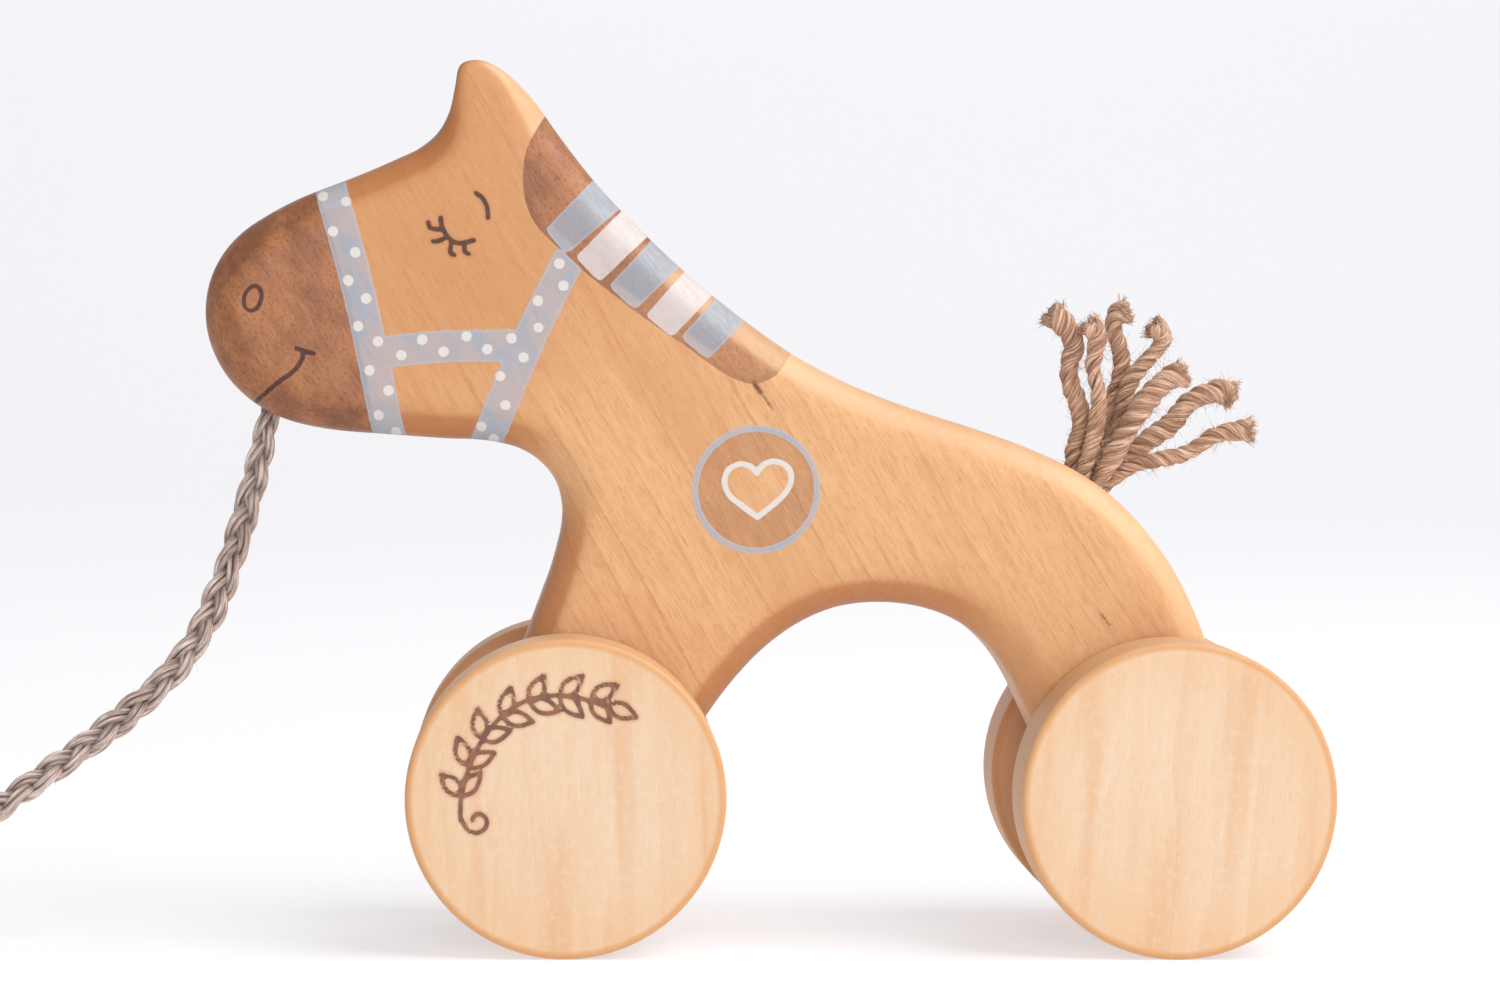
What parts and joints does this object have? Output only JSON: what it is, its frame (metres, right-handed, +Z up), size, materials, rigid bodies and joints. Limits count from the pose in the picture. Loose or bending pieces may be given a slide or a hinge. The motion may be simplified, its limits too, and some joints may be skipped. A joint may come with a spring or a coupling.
{
  "type": "wooden pull-along horse",
  "caption": "Flat wooden toy horse with rounded edges on disc wheels, with a twine tail and a braided pull cord.",
  "frame": {"origin": "middle of the horse's box at floor level, without the pull cord", "axes": "+X from the muzzle to the tail, +Z up, Y along the axles; the horse faces -X and its left side is -Y"},
  "size_m": [0.3593, 0.069, 0.1686],
  "materials": {
    "board_wood": "oiled, sanded smooth, with painted and burnt decoration",
    "wheel_wood": "oiled, turned smooth",
    "dowel_wood": "bare",
    "jute_twine": "plied twine with frayed ends",
    "linen_cord": "braided"
  },
  "bodies": {
    "horse": {"horse_body": "board_wood", "tail_strand_1": "jute_twine", "tail_strand_2": "jute_twine", "tail_strand_3": "jute_twine", "tail_strand_4": "jute_twine", "tail_strand_5": "jute_twine", "tail_strand_6": "jute_twine", "tail_strand_7": "jute_twine", "pull_cord": "linen_cord", "pull_cord_coil": "linen_cord", "pull_cord_knot": "linen_cord"},
    "front_wheelset": {"front_axle": "dowel_wood", "front_left_wheel": "wheel_wood", "front_right_wheel": "wheel_wood"},
    "rear_wheelset": {"rear_axle": "dowel_wood", "rear_left_wheel": "wheel_wood", "rear_right_wheel": "wheel_wood"}
  },
  "joints": [
    {"name": "front_axle_spin", "type": "hinge", "parent": "horse", "child": "front_wheelset", "pos_m": [-0.03808, 0, 0.03], "axis": [0, 1, 0], "continuous": true},
    {"name": "rear_axle_spin", "type": "hinge", "parent": "horse", "child": "rear_wheelset", "pos_m": [0.07732, 0, 0.03], "axis": [0, 1, 0], "continuous": true}
  ]
}
